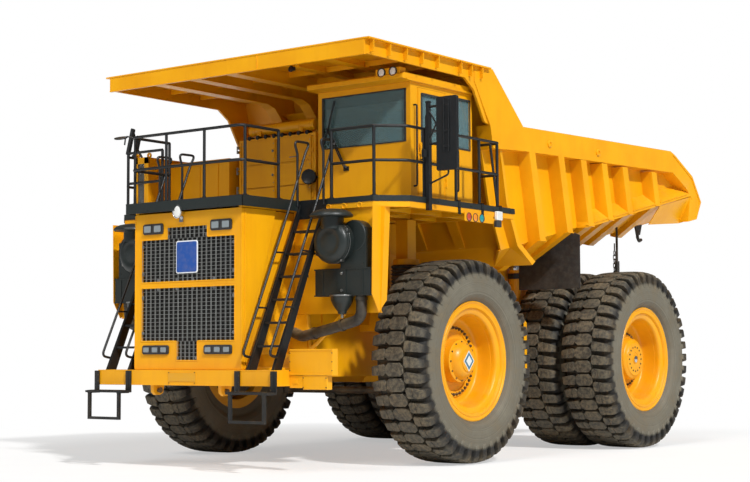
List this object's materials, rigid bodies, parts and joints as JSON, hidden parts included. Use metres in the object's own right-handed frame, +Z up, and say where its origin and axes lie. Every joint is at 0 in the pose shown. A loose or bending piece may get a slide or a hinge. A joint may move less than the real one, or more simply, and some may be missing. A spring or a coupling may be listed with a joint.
{
  "type": "mining dump truck",
  "caption": "Rigid-frame mining dump truck: railed front deck, cab on the left, tipping ribbed body with canopy, twin hoist cylinders and twin rear tyres.",
  "frame": {"origin": "middle of the truck's length and width, on the ground", "axes": "+Z up, the front faces -Y, the cab stands on the +X side"},
  "size_m": [6.64, 11.17, 6.075],
  "materials": {
    "yellow_enamel": "satin gloss, dusty",
    "black_paint": "satin",
    "grey_paint": "satin",
    "tinted_glass": "gloss",
    "cast_steel": "matte, oily",
    "cab_trim": "matte",
    "flap_rubber": "matte",
    "chromed_rod": "polished",
    "tyre_rubber": "matte, dusty"
  },
  "bodies": {
    "chassis": {"frame": "yellow_enamel", "radiator_hood": "yellow_enamel", "front_bumper": "yellow_enamel", "battery_box": "yellow_enamel", "control_cabinet": "yellow_enamel", "grid_box": "yellow_enamel", "cab_shell": "yellow_enamel", "cab_roof": "yellow_enamel", "fuel_tank": "yellow_enamel", "hydraulic_tank": "yellow_enamel", "boarding_step_left": "black_paint", "boarding_step_right": "black_paint", "ladder_left": "black_paint", "ladder_right": "black_paint", "handrail_front": "black_paint", "handrail_left": "black_paint", "handrail_right": "black_paint", "mirror_left": "black_paint", "mirror_right": "black_paint", "deck": "grey_paint", "air_cleaner_left": "grey_paint", "air_cleaner_right": "grey_paint", "windscreen": "tinted_glass", "rear_glass": "tinted_glass", "side_glass": "tinted_glass", "quarter_glass": "tinted_glass", "engine_block": "cast_steel", "rear_axle": "cast_steel", "rear_strut_left": "cast_steel", "rear_strut_right": "cast_steel", "operator_seat": "cab_trim", "dashboard": "cab_trim"},
    "dump_body": {"dump_body": "yellow_enamel", "canopy": "yellow_enamel", "mud_flap_left": "flap_rubber", "mud_flap_right": "flap_rubber", "rock_ejector_left": "cast_steel", "rock_ejector_right": "cast_steel"},
    "hoist_barrel_left": {"hoist_barrel_left": "yellow_enamel"},
    "hoist_barrel_right": {"hoist_barrel_right": "yellow_enamel"},
    "hoist_rod_left": {"hoist_rod_left": "chromed_rod"},
    "hoist_rod_right": {"hoist_rod_right": "chromed_rod"},
    "knuckle_left": {"knuckle_left": "cast_steel"},
    "knuckle_right": {"knuckle_right": "cast_steel"},
    "tie_rod": {"tie_rod": "cast_steel"},
    "front_wheel_left": {"front_rim_left": "yellow_enamel", "front_tyre_left": "tyre_rubber"},
    "front_wheel_right": {"front_rim_right": "yellow_enamel", "front_tyre_right": "tyre_rubber"},
    "rear_wheel_left": {"rear_rim_left": "yellow_enamel", "rear_tyre_outer_left": "tyre_rubber", "rear_tyre_inner_left": "tyre_rubber"},
    "rear_wheel_right": {"rear_rim_right": "yellow_enamel", "rear_tyre_outer_right": "tyre_rubber", "rear_tyre_inner_right": "tyre_rubber"},
    "cab_door": {"cab_door": "yellow_enamel", "door_glass": "tinted_glass"},
    "cabinet_door_left": {"cabinet_door_left": "yellow_enamel"},
    "cabinet_door_right": {"cabinet_door_right": "yellow_enamel"}
  },
  "joints": [
    {"name": "dump_hinge", "type": "hinge", "parent": "chassis", "child": "dump_body", "pos_m": [0, 4.315, 3.05], "axis": [-1, 0, 0], "range_deg": [0, 45]},
    {"name": "hoist_pivot_left", "type": "hinge", "parent": "chassis", "child": "hoist_barrel_left", "pos_m": [0.97, 2.11, 1.105], "axis": [-1, 0, 0], "range_deg": [0, 14.2]},
    {"name": "hoist_slide_left", "type": "slide", "parent": "hoist_barrel_left", "child": "hoist_rod_left", "axis": [0, -0.0578, 0.9983], "range_m": [0, 1.66]},
    {"name": "hoist_pivot_right", "type": "hinge", "parent": "chassis", "child": "hoist_barrel_right", "pos_m": [-0.97, 2.11, 1.105], "axis": [-1, 0, 0], "range_deg": [0, 14.2]},
    {"name": "hoist_slide_right", "type": "slide", "parent": "hoist_barrel_right", "child": "hoist_rod_right", "axis": [0, -0.0578, 0.9983], "range_m": [0, 1.66]},
    {"name": "steer_left", "type": "hinge", "parent": "chassis", "child": "knuckle_left", "pos_m": [1.5, -1.985, 1.5], "axis": [0, 0, 1], "range_deg": [-35, 35]},
    {"name": "steer_right", "type": "hinge", "parent": "chassis", "child": "knuckle_right", "pos_m": [-1.5, -1.985, 1.5], "axis": [0, 0, 1], "range_deg": [-35, 35]},
    {"name": "tie_rod_pivot", "type": "hinge", "parent": "knuckle_left", "child": "tie_rod", "pos_m": [1.35, -1.465, 1.06], "axis": [0, 0, 1], "range_deg": [-35, 35]},
    {"name": "front_axle_left", "type": "hinge", "parent": "knuckle_left", "child": "front_wheel_left", "pos_m": [2.38, -1.985, 1.53], "axis": [1, 0, 0], "continuous": true},
    {"name": "front_axle_right", "type": "hinge", "parent": "knuckle_right", "child": "front_wheel_right", "pos_m": [-2.38, -1.985, 1.53], "axis": [1, 0, 0], "continuous": true},
    {"name": "rear_axle_left", "type": "hinge", "parent": "chassis", "child": "rear_wheel_left", "pos_m": [2.115, 2.965, 1.53], "axis": [1, 0, 0], "continuous": true},
    {"name": "rear_axle_right", "type": "hinge", "parent": "chassis", "child": "rear_wheel_right", "pos_m": [-2.115, 2.965, 1.53], "axis": [1, 0, 0], "continuous": true},
    {"name": "cab_door_hinge", "type": "hinge", "parent": "chassis", "child": "cab_door", "pos_m": [2.436, -2.2125, 4.77], "axis": [0, 0, 1], "range_deg": [0, 31]},
    {"name": "cabinet_hinge_left", "type": "hinge", "parent": "chassis", "child": "cabinet_door_left", "pos_m": [0.557, -3.107, 4.46], "axis": [0, 0, 1], "range_deg": [0, 100]},
    {"name": "cabinet_hinge_right", "type": "hinge", "parent": "chassis", "child": "cabinet_door_right", "pos_m": [-0.937, -3.107, 4.46], "axis": [0, 0, -1], "range_deg": [0, 100]}
  ],
  "couplings": [
    {"joint": "hoist_pivot_left", "follows": "dump_hinge", "ratio": 0.3117},
    {"joint": "hoist_slide_left", "follows": "dump_hinge", "m_per_rad": 2.0982},
    {"joint": "hoist_pivot_right", "follows": "dump_hinge", "ratio": 0.3117},
    {"joint": "hoist_slide_right", "follows": "dump_hinge", "m_per_rad": 2.0982},
    {"joint": "steer_right", "follows": "steer_left", "ratio": 1},
    {"joint": "tie_rod_pivot", "follows": "steer_left", "ratio": -1}
  ]
}
